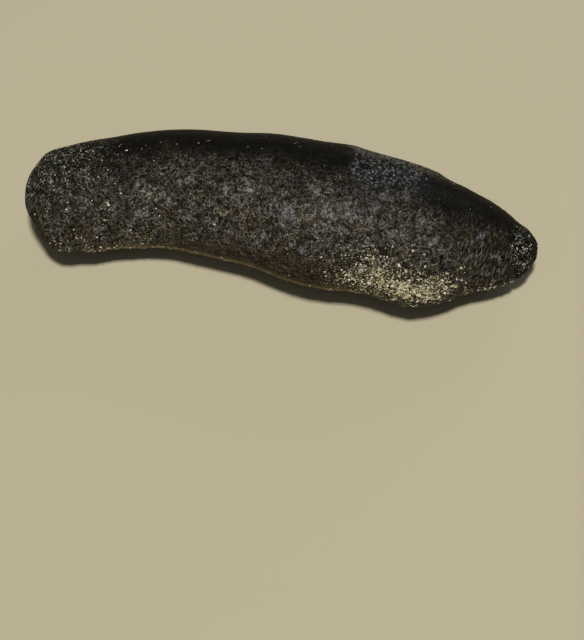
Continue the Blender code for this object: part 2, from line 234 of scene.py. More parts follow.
# Rings that fold in behind the rear rim make the pit of the anus, drawn up into puckers
rim = smooth_skin[-1]
rim_middle = rim.mean(axis=0)
middle_before, middle_at_tip = station(np.array((BODY_LENGTH - MM, BODY_LENGTH)))[0]
rear_heading = math.atan2(middle_at_tip - middle_before, MM)
backward = np.array((math.cos(rear_heading), math.sin(rear_heading), 0))
pit_share = np.arange(1, PIT_RINGS + 1)[:, None, None] / PIT_RINGS
pit_narrowing = 1 - 0.9 * pit_share**0.8
pucker_wave = 0.5 + 0.5 * np.cos(np.radians(columns) * ANUS_PUCKERS + 0.4)
pit_star = 1 - 0.34 * pucker_wave[None, :, None] * np.minimum(pit_share * 3, 1)
pit_rings = rim_middle + (rim - rim_middle) * pit_narrowing * pit_star
pit_rings = pit_rings - backward * ANUS_DEPTH * pit_share
smooth_skin = np.concatenate((smooth_skin, pit_rings))
ring_places = np.concatenate((ring_places, np.full(PIT_RINGS, BODY_LENGTH)))
smooth_skin += shift

along_step = np.gradient(smooth_skin, axis=0)
round_step = np.roll(smooth_skin, -1, axis=1) - np.roll(smooth_skin, 1, axis=1)
skin_normals = np.cross(round_step, along_step)
skin_normals /= np.linalg.norm(skin_normals, axis=-1, keepdims=True) + 1e-12
skin_normals[0] = skin_normals[1].mean(axis=0) / np.linalg.norm(skin_normals[1].mean(axis=0))

spots = smooth_skin / MM
place_mm = np.broadcast_to((ring_places / MM)[:, None], spots.shape[:2])
degrees = np.broadcast_to(columns[None, :], spots.shape[:2])
stretch = np.linalg.norm(np.roll(spots, -1, axis=1) - spots, axis=-1)
girth = np.cumsum(stretch, axis=1) - stretch
back_column = int(np.argmin(np.abs(columns - 90)))
girth = girth - girth[:, back_column : back_column + 1]

# Soft swells of the muscle under the skin, then its cobbles, wrinkles and creases, all in mm
drift = grain_at(spots, 9.0, 40.0)
patches = grain_at(spots, 5.0, 90.0)
swell = 0.16 * grain_at(spots, 15.0) + 0.12 * grain_at(spots, 7.0, 11.0)
for lump_place, place_spread, lump_angle, angle_spread, lump_height in LUMPS:
    sideways = (degrees - lump_angle + 180) % 360 - 180
    lengthways = place_mm - lump_place
    swell += lump_height * np.exp(-((lengthways / place_spread) ** 2) - (sideways / angle_spread) ** 2)
leather = LEATHER_HEIGHT * grain_at(spots, LEATHER_SIZE, 23.0)
cobble_tops = cobbles_at(spots, COBBLE_SIZE)
is_pit = np.arange(len(ring_places))[:, None] >= len(ring_places) - PIT_RINGS
flat_along = np.stack((place_mm, girth, np.zeros_like(girth)), axis=-1)
long_wrinkle = 1 - np.abs(grain_at(flat_along / (7.0, 0.95, 1.0), 1.0, 5.0)) * 2.4
cross_wrinkle = 1 - np.abs(grain_at(flat_along / (0.95, 5.0, 1.0), 1.0, 9.0)) * 2.4
near_flank = eased_step(degrees + 14 * drift, 138, 168) * eased_step(degrees, 225, 205)
near_flank = near_flank * eased_step(place_mm, 34, 52) * eased_step(place_mm, 104, 88)
tail_zone = eased_step(place_mm + 6 * drift, 118, 134)
front_zone = eased_step(place_mm, 20, 8)
# The far flank, turned from the lamps, is darker: partly its own near-black skin, partly painted shade
far_turn = degrees + 10 * drift + 8 * patches - 14 * eased_step(place_mm, 110, 124)
far_flank_dark_and_shade = 0.58 * eased_step(far_turn, 84, 54) + 0.42 * eased_step(far_turn, 122, 70)
far_flank_dark_and_shade = far_flank_dark_and_shade * eased_step(place_mm + 8 * drift, 8, 27)
far_flank_dark_and_shade = far_flank_dark_and_shade * (0.5 + 0.5 * eased_step(degrees + 8 * drift, -5, 40))
sole_zone = eased_step(np.abs(degrees - 90), 110, 128)
# A wet patch on the far side of the back: higher cobbles and a glossier coat, with a painted glint on the
# cobble tops and painted shade between them
wet_place = place_mm + 5 * patches
wet_glint_zone = eased_step(wet_place - 0.07 * (degrees - 48), 89.5, 95)
wet_glint_zone = wet_glint_zone * eased_step(wet_place + 0.3 * (degrees - 50), 122, 107)
wet_turn = degrees + 14 * patches
wet_fade = 0.55 * eased_step(wet_turn, 92, 70) + 0.45 * eased_step(wet_turn, 132, 100)
wet_glint_zone = np.clip(wet_glint_zone * eased_step(wet_turn, 18, 38) * wet_fade * (0.86 + 0.4 * drift), 0, 1)
cobble_height = COBBLE_HEIGHT * (1 - 0.6 * far_flank_dark_and_shade) * (1 - 0.5 * near_flank) * (1 - 0.4 * tail_zone)
cobble_height = cobble_height + COBBLE_HEIGHT * wet_glint_zone
relief = swell + leather + cobble_height * (cobble_tops - 0.6)
relief = relief + LONG_WRINKLE_HEIGHT * near_flank * long_wrinkle
relief = relief + WRINKLE_HEIGHT * (0.7 * tail_zone + 0.5 * front_zone) * cross_wrinkle
relief = relief + WRINKLE_HEIGHT * sole_zone * cross_wrinkle
rear_fold = np.exp(-(((place_mm - REAR_FOLD_PLACE - 0.9 * drift) / 0.6) ** 2))
relief = relief - REAR_FOLD_DEPTH * rear_fold * eased_step(degrees, 95, 130)
pucker_reach = eased_step(place_mm, 145.2, 148.6) * ~is_pit
relief = relief - PUCKER_DEPTH * pucker_reach * pucker_wave[None, :]
relief = np.where(is_pit, 0, relief - SKIN_DEPTH)

# The round hollow under the front end, for the lip and the tentacles
mouth_middle = Vector(on_body(np.array([MOUTH_PLACE]), np.array([-90.0]))[0] + shift)
mouth_out = Vector((-math.sin(MOUTH_TILT), 0, -math.cos(MOUTH_TILT)))
mouth_turn = Vector((0, 0, 1)).rotation_difference(mouth_out)
mouth_frame = Matrix.Translation(mouth_middle) @ mouth_turn.to_matrix().to_4x4()
from_mouth = smooth_skin - np.array(mouth_middle)
outward = from_mouth @ np.array(mouth_out)
from_axis = np.linalg.norm(from_mouth - outward[..., None] * np.array(mouth_out), axis=-1)
in_pocket = eased_step(from_axis, POCKET_RADIUS, POCKET_RADIUS - 0.0008) * (outward > -0.004)
relief = relief * (1 - in_pocket)
skin_points = smooth_skin + skin_normals * (relief * MM)[..., None]
skin_points = skin_points - np.array(mouth_out) * (in_pocket * (POCKET_DEPTH + outward))[..., None]
skin_points[0] = skin_points[1].mean(axis=0)

rings, around = skin_points.shape[:2]
ring_index = np.arange(rings - 1)[:, None] * around
column_index = np.arange(around)[None, :]
next_column = (column_index + 1) % around
quads = np.stack(
    (
        ring_index + column_index,
        ring_index + next_column,
        ring_index + around + next_column,
        ring_index + around + column_index,
    ),
    axis=-1,
).reshape(-1, 4)
pit_end = rings * around
last_ring = pit_end - around
pit_fan = [
    (last_ring + int(column), last_ring + int(following), pit_end)
    for column, following in zip(column_index[0], next_column[0])
]
pit_middle = skin_points[-1].mean(axis=0)
skin_mesh = bpy.data.meshes.new("skin")
skin_mesh.from_pydata(
    np.concatenate((skin_points.reshape(-1, 3), [pit_middle])).tolist(), [], quads.tolist() + pit_fan
)
skin_mesh.shade_smooth()


def placed(name, mesh):
    """A new object of that name in the scene."""
    made = bpy.data.objects.new(name, mesh)
    bpy.context.scene.collection.objects.link(made)
    return made


skin = placed("skin", skin_mesh)

# Where the skin's colours lie, and where light and shade are painted on it, as shares from 0 to 1 that
# the finish reads
front_rim = 9 * eased_step(place_mm, 10, 0) * (degrees > 90)
# A belt along the top of the back, toward the near flank: partly lilac-grey skin, partly painted sheen
# where the overhead lamp reflects
haze_and_sheen_belt = np.exp(-(((place_mm - 84) / 46) ** 4)) * np.exp(-(((degrees - 108) / 36) ** 2))
cloud = np.clip(0.5 + 0.9 * grain_at(spots, 6.5, 71.0) + 0.4 * drift, 0, 1)
tail_haze = np.exp(-(((place_mm - 133) / 9) ** 2) - ((degrees - 115) / 30) ** 2)
front_haze = np.exp(-(((place_mm - 26) / 16) ** 2) - ((degrees - 122) / 30) ** 2)
# The near flank is painted paler: partly paler skin, partly painted light from the lamps and the floor
near_painted_light = np.exp(-(((place_mm - 36) / 22) ** 2) - ((degrees - 170) / 26) ** 2)
far_side = eased_step(degrees, 110, 60)
lilac_marks = np.zeros_like(place_mm)
for mark_place, mark_angle, half_across, half_along, lean in LILAC_MARKS:
    mark_ring = int(np.argmin(np.abs(ring_places / MM - mark_place)))
    mark_column = int(np.argmin(np.abs(columns - mark_angle)))
    x, y = place_mm - mark_place, girth - girth[mark_ring, mark_column]
    turned = math.radians(lean)
    u = x * math.cos(turned) - y * math.sin(turned)
    v = x * math.sin(turned) + y * math.cos(turned)
    lilac_marks = np.maximum(lilac_marks, np.exp(-((u / half_along) ** 2) - (v / half_across) ** 2))
rim_line = np.exp(-(((degrees - 193 - 3 * drift) / 8.0) ** 2)) * eased_step(place_mm, 12, 28)
rim_line = rim_line * eased_step(place_mm, 112, 98)
end_haze_and_near_light = 0.15 * tail_haze + 0.35 * front_haze + 0.7 * near_painted_light
marks = {
    "haze_and_sheen": haze_and_sheen_belt * (0.35 + 0.65 * cloud) + end_haze_and_near_light * cloud,
    # near black on the far flank, partly painted shade, and on the rear cap, its own dark skin
    "black_and_shade": np.maximum(far_flank_dark_and_shade, eased_step(place_mm + 1.6 * drift + 2 * far_side, 138, 142.5)),
    "olive": eased_step(np.abs(degrees - 90) + 5 * drift + 4 * patches + front_rim, 100, 122),
    "brown": near_flank,
    "strokes": tail_zone,
    "wet_and_glint": wet_glint_zone,
    # paler toward the near flank, partly as painted light
    "near": eased_step(degrees, 118, 178),
    "rim": rim_line,
    "lilac": lilac_marks,
    "frost": np.maximum(
        0.7 * np.exp(-(((place_mm - 7) / 16) ** 4) - ((degrees - 56) / 46) ** 4),
        0.8 * np.exp(-(((place_mm - 143.4) / 2.9) ** 2) - ((degrees - 112) / 42) ** 2),
    ),
    "along": place_mm,
    "girth": girth,
}
for mark_name, share in marks.items():
    layer = skin_mesh.attributes.new(mark_name, "FLOAT", "POINT")
    layer.data.foreach_set("value", np.append(share.ravel(), share[-1].mean()).astype(np.float32))

# A map of the skin unrolled from front to rear, for baking its colours
unrolled_along = np.cumsum(np.linalg.norm(along_step, axis=-1).mean(axis=1))
unrolled_along = (unrolled_along - unrolled_along[0]) / (unrolled_along[-1] - unrolled_along[0])
unrolled_round = np.append((columns + 90) / 360, 1.0)
bake_map = skin_mesh.uv_layers.new(name="OFBake")
corner_along = np.stack((np.arange(rings - 1),) * 2 + (np.arange(1, rings),) * 2, axis=-1)
corner_along = unrolled_along[np.repeat(corner_along, around, axis=0)]
corner_round = np.arange(around)[:, None] + np.array((0, 1, 1, 0))
corner_round = unrolled_round[np.tile(corner_round, (rings - 1, 1))]
quad_places = np.stack((0.005 + 0.985 * corner_along, corner_round), axis=-1).reshape(-1, 2)
fan_round = unrolled_round[np.arange(around)[:, None] + np.array((0, 1, 0))]
fan_places = np.stack((np.tile((0.99, 0.99, 1.0), (around, 1)), fan_round), axis=-1).reshape(-1, 2)
bake_map.uv.foreach_set("vector", np.concatenate((quad_places, fan_places)).astype(np.float32).ravel())


class Tone:
    """A socket of a finish's nodes, so that sums and products of tones read as sums and products."""

    def __init__(self, tree, socket=None):
        self.tree = tree
        self.socket = socket

    def node(self, kind, inputs, output=0, stops=None, **settings):
        """Adds a node with its settings, then its sockets' values or links, and gives one output."""
        made = self.tree.nodes.new("ShaderNode" + kind)
        for name, setting in settings.items():
            setattr(made, name, setting)
        if stops:
            ramp = made.color_ramp.elements
            while len(ramp) < len(stops):
                ramp.new(1)
            for stop, (position, colour) in zip(ramp, stops):
                stop.position = position
                stop.color = colour
        for name, value in inputs.items():
            if isinstance(value, Tone):
                self.tree.links.new(value.socket, made.inputs[name])
            else:
                made.inputs[name].default_value = value
        return Tone(self.tree, made.outputs[output])

    def math(self, operation, first, second=0.0):
        return self.node("Math", {0: first, 1: second}, operation=operation)

    def __add__(self, other):
        return self.math("ADD", self, other)

    def __radd__(self, other):
        return self.math("ADD", other, self)

    def __sub__(self, other):
        return self.math("SUBTRACT", self, other)

    def __rsub__(self, other):
        return self.math("SUBTRACT", other, self)

    def __mul__(self, other):
        return self.math("MULTIPLY", self, other)

    def __rmul__(self, other):
        return self.math("MULTIPLY", other, self)

    def size(self):
        return self.math("ABSOLUTE", self)

    def within(self, low, high):
        """0 at low and 1 at high, smooth between; low may be above high."""
        inputs = {"Value": self, "From Min": low, "From Max": high}
        return self.node("MapRange", inputs, interpolation_type="SMOOTHSTEP")

    def mixed(self, start, end):
        """From the start colour to the end colour, by this share."""
        return self.node("Mix", {0: self, 6: start, 7: end}, output=2, data_type="RGBA")

    def attribute(self, name):
        return self.node("Attribute", {}, output=2, attribute_name=name)

    def spot(self):
        """The place on the piece, in mm."""
        return self.node("TexCoord", {}, output=3).scaled((1000, 1000, 1000))

    def scaled(self, factor):
        """This vector, each of its axes times a factor."""
        return self.node("VectorMath", {0: self, 1: factor}, operation="MULTIPLY")

    def moved(self, other):
        return self.node("VectorMath", {0: self, 1: other}, operation="ADD")

    def grain(self, scale, detail=2.0, output=0, roughness=0.5):
        """Noise of that many swells to the unit at this place."""
        inputs = {"Vector": self, "Scale": scale, "Detail": detail, "Roughness": roughness}
        return self.node("TexNoise", inputs, output=output)

    def cells(self, scale, feature="F1", output=0):
        return self.node("TexVoronoi", {"Vector": self, "Scale": scale}, output=output, feature=feature)


def rgb(red, green, blue):
    """A colour as it looks on a screen, from 0 to 255, given as the linear light that a shader takes."""
    shares = (red / 255, green / 255, blue / 255)
    linear = [((share + 0.055) / 1.055) ** 2.4 if share > 0.04 else share / 12.92 for share in shares]
    return (*linear, 1)


def made_finish(name, **constants):
    """A new material: its name, its shader with constants set, and a Tone to build its nodes from."""
    finish = bpy.data.materials.new(name)
    finish.use_nodes = True
    shader = finish.node_tree.nodes["Principled BSDF"]
    for socket, value in constants.items():
        shader.inputs[socket.replace("_", " ")].default_value = value
    return finish, shader, Tone(finish.node_tree)


def feed(shader, **tones):
    """Links tones to the shader's sockets."""
    for socket, tone in tones.items():
        tone.tree.links.new(tone.socket, shader.inputs[socket.replace("_", " ")])


wet_skin, shader, tone = made_finish(
    "wet_skin", Specular_IOR_Level=0.05, Coat_Roughness=0.22, Coat_IOR=1.33
)
spot = tone.spot()
wander = spot.grain(0.6, 2.0, output=1).moved((-0.5, -0.5, -0.5)).scaled((1.6, 1.6, 1.6))
curled = spot.moved(wander)
along, across = tone.attribute("along"), tone.attribute("girth")
unrolled = tone.node("CombineXYZ", {0: along, 1: across})
leaning = tone.node("CombineXYZ", {0: along + 0.27 * across, 1: across})
haze_and_sheen, black_and_shade, olive = tone.attribute("haze_and_sheen"), tone.attribute("black_and_shade"), tone.attribute("olive")
brown, strokes, frost = tone.attribute("brown"), tone.attribute("strokes"), tone.attribute("frost")
wet_and_glint, near, rim = tone.attribute("wet_and_glint"), tone.attribute("near"), tone.attribute("rim")

# Thin pale threads, broken and thicker in drifts, over a dark ground with painted shade in the creases
# between cobbles
shaded_crease = 1 - curled.cells(1.2, "DISTANCE_TO_EDGE").within(0.02, 0.22)
thread = (curled.grain(0.7, 1.0) - 0.5).size().within(0.05, 0.01)
fine_thread = (curled.moved((17, 0, 0)).grain(1.25, 1.0) - 0.5).size().within(0.055, 0.012)
mottle = curled.moved((0, 9, 0)).grain(1.6, 2.0, roughness=0.6).within(0.50, 0.68)
stroke = leaning.moved(wander.scaled((0.4, 0.4, 0.4))).scaled((2.1, 0.5, 1))
stroke = stroke.grain(1.0, 2.0).within(0.50, 0.62)
wisp = (curled.moved((0, 0, 29)).grain(0.55, 2.0) - 0.5).size().within(0.11, 0.03)
long_line = (unrolled.scaled((0.13, 1.0, 1)).grain(1.0, 1.0) - 0.5).size().within(0.08, 0.01)
broken = spot.grain(0.7, 2.0).within(0.42, 0.58)
line_drift = spot.grain(0.28, 3.0).within(0.38, 0.64)
warm_drift = spot.moved((31, 0, 0)).grain(0.2, 2.0).within(0.42, 0.64)
speckle = spot.grain(4.0, 1.0).within(0.35, 0.7)
line = (thread * 1.15 + fine_thread * 0.75) * (0.2 + 0.85 * broken) + mottle * 0.36
line = line + (stroke * 0.9 + line * 0.25 - line) * strokes
beads = unrolled.moved(wander.scaled((0.7, 0.7, 0.7))).scaled((0.78, 0.88, 1))
beads = beads.cells(1.0, "DISTANCE_TO_EDGE").within(0.07, 0.24)

# The ground is painted darker in the creases between cobbles, as shade
ground = (speckle * (1 - shaded_crease)).mixed(rgb(5, 5, 3), rgb(42, 36, 23))
# Ground painted paler toward the near flank, partly as painted light
ground = (near * 0.45 * (1 - shaded_crease)).mixed(ground, rgb(54, 47, 31))
ground = (warm_drift * 0.25).mixed(ground, rgb(37, 32, 20))
pale = (warm_drift * 0.7).mixed(rgb(142, 137, 127), rgb(133, 121, 98))
# Marks are paler in the haze belt, which is partly painted sheen
mark_share = line * (0.34 + 0.5 * line_drift) * (1 + 0.04 * strokes) * (0.67 + 0.43 * haze_and_sheen)
# Marks brighter toward the near flank, partly as painted light, and faded where the far flank is dark and
# painted in shade
mark_share = mark_share * (1 + 0.45 * near) * (1 - black_and_shade * 0.88)
skin_colour = mark_share.mixed(ground, pale)
# The lilac tone also follows the haze belt, so part of it is painted sheen
lilac = haze_and_sheen * spot.moved((0, 0, 13)).grain(0.55, 2.0).within(0.52, 0.66) * (0.3 + 0.7 * line)
lilac_mark = tone.attribute("lilac").within(0.1, 0.8) * spot.grain(2.4, 2.0).within(0.36, 0.56)
lilac = lilac * 0.4 + lilac_mark * (0.08 + 0.5 * wisp + 0.6 * line)
skin_colour = lilac.mixed(skin_colour, rgb(140, 136, 142))
brown_tone = (long_line * 0.5 + line * 0.3).mixed(rgb(31, 26, 17), rgb(88, 75, 54))
skin_colour = (brown * 0.5).mixed(skin_colour, brown_tone)
# Near black on the far flank, partly painted shade, and on the rear cap
skin_colour = (black_and_shade * 0.8 * (1 - frost)).mixed(skin_colour, rgb(6, 6, 5))
skin_colour = (frost * 0.8).mixed(skin_colour, rgb(8, 9, 7))
clump = spot.grain(1.3, 1.0).within(0.46, 0.62)
clump = clump * spot.moved((5, 0, 0)).grain(0.4, 2.0).within(0.38, 0.62)
fleck = frost * (thread + fine_thread * 0.8) * clump
skin_colour = fleck.mixed(skin_colour, rgb(170, 174, 160))
olive_tone = (line * 0.4 + long_line * 0.2 + line_drift * 0.3).mixed(rgb(31, 27, 17), rgb(84, 75, 49))
skin_colour = (olive * 0.85).mixed(skin_colour, olive_tone)
rim_share = rim * (0.4 + 0.4 * long_line + 0.5 * line)
skin_colour = (rim_share * 0.85).mixed(skin_colour, rgb(172, 156, 104))
# A painted glint on the cobble tops of the wet patch, over ground painted near black between them as
# shade
painted_glint = wet_and_glint * beads * spot.grain(0.45, 2.0).within(0.34, 0.54)
skin_colour = (wet_and_glint * 0.6).mixed(skin_colour, rgb(8, 8, 8))
skin_colour = (painted_glint * 0.66).mixed(skin_colour, rgb(112, 114, 116))
roughness = 0.56 + 0.1 * shaded_crease - 0.24 * wet_and_glint
bump_height = (1 - shaded_crease) * 0.8 + line * 0.2 + spot.grain(4.0, 2.0) * 0.15 + long_line * brown * 0.5
bump = tone.node("Bump", {"Height": bump_height, "Distance": 0.00014, "Strength": 0.9})
coat = 0.03 + 0.06 * (1 - shaded_crease) + 0.7 * wet_and_glint * beads
feed(shader, Base_Color=skin_colour, Roughness=roughness, Coat_Weight=coat, Normal=bump)
skin_mesh.materials.append(wet_skin)
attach(skin, "root")
lengths = ("front", "trunk_1", "trunk_2", "trunk_3", "trunk_4", "rear")
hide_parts(*(f"{name}_{side}" for name in lengths for side in ("back", "sole")), "anal_cap")


# Tube feet.
# Soft olive stalks that grow in bands down the sole, each ending in a pale sucker disc pressed flat on
# the ground. Each is turned from one profile and leans its own way.

# Sideways place of each band, as a share of the half width
FOOT_BANDS = (
    -0.66, -0.60, -0.54, -0.48, -0.36, -0.29, -0.22, -0.07, 0.0,
    0.07, 0.22, 0.29, 0.36, 0.48, 0.54, 0.60, 0.66,
)
FOOT_SPACING = 0.0022
FOOT_JITTER = 0.0007
FOOT_LEAN = 0.0005
HIGHEST_ROOT = 0.0042
FIRST_FOOT = 0.0165
LAST_FOOT = 0.137
FOOT_SIDES = 8
FOOT_ROOT_SUNK = 0.0006
MOUTH_CLEARANCE = 0.0094
# Height as a share of the foot's length, and radius in mm, from the disc's hollow up to the root
FOOT_PROFILE = (
    (0.05, 0.30), (0.00, 0.55), (0.00, 0.78), (0.09, 0.86), (0.18, 0.66), (0.30, 0.50),
    (0.42, 0.56), (0.54, 0.49), (0.66, 0.58), (0.78, 0.53), (0.90, 0.68), (1.00, 0.85),
)

feet_draw = random.Random(11)
foot_points, foot_faces, foot_heights = [], [], []


def skin_at(place, angle):
    """Point and outward direction of the finished skin at a distance from the front tip and an angle."""
    ring = np.interp(place, ring_places[: rings - PIT_RINGS], np.arange(rings - PIT_RINGS))
    column = np.interp(angle, np.append(columns, 270), np.arange(around + 1))
    i, j = min(int(ring), rings - PIT_RINGS - 2), int(column)
    s, t = ring - i, column - j
    corners = (
        (i, j, (1 - s) * (1 - t)),
        (i + 1, j, s * (1 - t)),
        (i, j + 1, (1 - s) * t),
        (i + 1, j + 1, s * t),
    )
    point = sum(skin_points[a, b % around] * share for a, b, share in corners)
    out = sum(skin_normals[a, b % around] * share for a, b, share in corners)
    return Vector(point), Vector(out).normalized()


def add_foot(ground, root, size):
    """Adds one foot: level rings from its disc on the ground up to its root, sunk in the skin."""
    first = len(foot_points)
    top = root.z + FOOT_ROOT_SUNK
    for share, radius in FOOT_PROFILE:
        middle = ground.lerp(root, share * share)
        for side in range(FOOT_SIDES):
            angle = 2 * math.pi * side / FOOT_SIDES
            reach = radius * size * MM
            spoke = Vector((math.cos(angle) * reach, math.sin(angle) * reach, 0))
            foot_points.append(Vector((middle.x, middle.y, top * share)) + spoke)
            foot_heights.append(share)
    for ring in range(len(FOOT_PROFILE) - 1):
        for side in range(FOOT_SIDES):
            a = first + ring * FOOT_SIDES + side
            b = first + ring * FOOT_SIDES + (side + 1) % FOOT_SIDES
            foot_faces.append((a, b, b + FOOT_SIDES, a + FOOT_SIDES))
    last = first + (len(FOOT_PROFILE) - 1) * FOOT_SIDES
    foot_faces.append(tuple(reversed(range(first, first + FOOT_SIDES))))
    foot_faces.append(tuple(range(last, last + FOOT_SIDES)))


for band_number, band in enumerate(FOOT_BANDS):
    for i in range(round((LAST_FOOT - FIRST_FOOT) / FOOT_SPACING)):
        place = FIRST_FOOT + FOOT_SPACING * (i + 0.5 * (band_number % 2))
        place += feet_draw.uniform(-1, 1) * FOOT_JITTER
        from_down = math.degrees(math.asin(band + feet_draw.uniform(-0.025, 0.025)))
        size = feet_draw.uniform(0.65, 1.1)
        lean = Vector((feet_draw.uniform(-1, 1), feet_draw.uniform(-1, 1), 0)) * FOOT_LEAN
        root = skin_at(place, -90 + from_down if from_down >= 0 else 270 + from_down)[0]
        from_mouth = (root.xy - mouth_middle.xy).length
        if place < LAST_FOOT and root.z < HIGHEST_ROOT and from_mouth > MOUTH_CLEARANCE:
            add_foot(Vector((root.x, root.y, 0)) + lean, root, size)
feet_mesh = bpy.data.meshes.new("tube_feet")
feet_mesh.from_pydata(foot_points, [], foot_faces)
feet_mesh.shade_smooth()
layer = feet_mesh.attributes.new("up_foot", "FLOAT", "POINT")
layer.data.foreach_set("value", np.array(foot_heights, np.float32))
tube_feet = placed("tube_feet", feet_mesh)

soft_foot, shader, tone = made_finish(
    "soft_foot", Specular_IOR_Level=0.4, Subsurface_Weight=0.15, Subsurface_Scale=0.001
)
spot = tone.spot()
up_foot = tone.attribute("up_foot")
rings_tone = tone.math("SINE", tone.node("SeparateXYZ", {0: spot}, output=2) * 16)
foot_colour = up_foot.within(0.02, 0.45).mixed(rgb(150, 136, 96), rgb(80, 68, 44))
foot_colour = (spot.grain(3.0, 2.0).within(0.45, 0.7) * 0.5).mixed(foot_colour, rgb(44, 35, 23))
bump = tone.node("Bump", {"Height": rings_tone * 0.3 + spot.grain(6.0), "Distance": 0.00008})
feed(shader, Base_Color=foot_colour, Roughness=0.45 + 0.2 * spot.grain(2.0), Normal=bump)
feet_mesh.materials.append(soft_foot)
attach(tube_feet, "root")


# Mouth lip.
# A soft brown ring of skin drawn up round the mouth, folded like the neck of a bag. It sits in the
# hollow under the front end and is grown in one piece with it.

LIP_MAJOR_RADIUS = 0.0048
LIP_MINOR_RADIUS = 0.0012
LIP_STAND = 0.0006
LIP_FOLDS = 26
LIP_AROUND = 208
LIP_SECTION = 22

lip_points = np.empty((LIP_AROUND, LIP_SECTION, 3))
for i in range(LIP_AROUND):
    angle = 2 * math.pi * i / LIP_AROUND
    fold = math.cos(angle * LIP_FOLDS + 1.5 * math.sin(angle * 3))
    for j in range(LIP_SECTION):
        turn = 2 * math.pi * j / LIP_SECTION
        minor = LIP_MINOR_RADIUS * (0.93 + 0.09 * fold * (0.4 + 0.6 * math.cos(turn) ** 2))
        radius = LIP_MAJOR_RADIUS + minor * math.cos(turn)
        height = LIP_STAND - LIP_MINOR_RADIUS + minor * math.sin(turn) * 0.98
        point = mouth_frame @ Vector((radius * math.cos(angle), radius * math.sin(angle), height))
        lip_points[i, j] = point
lip_index = np.arange(LIP_AROUND * LIP_SECTION).reshape(LIP_AROUND, LIP_SECTION)
lip_next = np.roll(lip_index, -1, axis=0)
lip_quads = np.stack(
    (lip_index, lip_next, np.roll(lip_next, -1, axis=1), np.roll(lip_index, -1, axis=1)), axis=-1
)
lip_mesh = bpy.data.meshes.new("lip")
lip_mesh.from_pydata(lip_points.reshape(-1, 3).tolist(), [], lip_quads.reshape(-1, 4).tolist())
lip_mesh.shade_smooth()
lip = placed("lip", lip_mesh)

wet_lip, shader, tone = made_finish(
    "wet_lip", Specular_IOR_Level=0.4, Coat_Weight=0.3, Coat_Roughness=0.2
)
spot = tone.spot()
lip_grain = spot.grain(2.4, 3.0)
lip_colour = lip_grain.within(0.35, 0.65).mixed(rgb(46, 34, 26), rgb(104, 84, 62))
lip_colour = (spot.cells(1.6).within(0.3, 0.1) * 0.4).mixed(lip_colour, rgb(140, 122, 92))
bump = tone.node("Bump", {"Height": lip_grain, "Distance": 0.0001, "Strength": 0.8})
feed(shader, Base_Color=lip_colour, Roughness=0.35 + 0.25 * lip_grain, Normal=bump)
lip_mesh.materials.append(wet_lip)
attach(lip, "root")
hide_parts("mouth_lip")


# Tentacles.
# Twenty short stalks come out of the mouth over the lip, each ending in a broad shield cut into knobbly
# branches that mop up sand. They are soft, grey-brown and paler at the tips.

TENTACLES = 20
CROWN_RADIUS = 0.0033
STALK_RADIUS = 0.00048
STALK_STEPS = 16
STALK_SIDES = 12
OUTER_REACH = 0.0072
INNER_REACH = 0.0045
SHIELD_RADIUS = 0.0013
SHIELD_BRANCHES = 7
HUB_RADIUS = 0.62 * SHIELD_RADIUS
BRANCH_KNOB = 0.00034
TIP_KNOB = 0.00024

tentacle_draw = random.Random(7)
tentacle_form = bmesh.new()
crown = bmesh.ops.create_uvsphere(tentacle_form, u_segments=40, v_segments=16, radius=CROWN_RADIUS)
bmesh.ops.scale(tentacle_form, verts=crown["verts"], vec=(1, 1, 0.16))
for vertex in crown["verts"]:
    angle = math.atan2(vertex.co.y, vertex.co.x)
    inward = 1 - min(vertex.co.xy.length / CROWN_RADIUS, 1)
    vertex.co.z += (0.00012 * math.cos(angle * TENTACLES) - 0.0007 * inward**2) * (vertex.co.z > 0)
bmesh.ops.translate(tentacle_form, verts=crown["verts"], vec=(0, 0, -POCKET_DEPTH + 0.0005))
bmesh.ops.transform(tentacle_form, verts=crown["verts"], matrix=mouth_frame)


def add_knob(form, middle, radius, flatten=1.0):
    """One rounded knob of a shield."""
    knob = bmesh.ops.create_icosphere(form, subdivisions=2, radius=radius)
    for vertex in knob["verts"]:
        vertex.co.z *= flatten
        vertex.co *= 1 + 0.12 * noise.noise((vertex.co + middle) / MM * 1.7)
    bmesh.ops.translate(form, verts=knob["verts"], vec=middle)


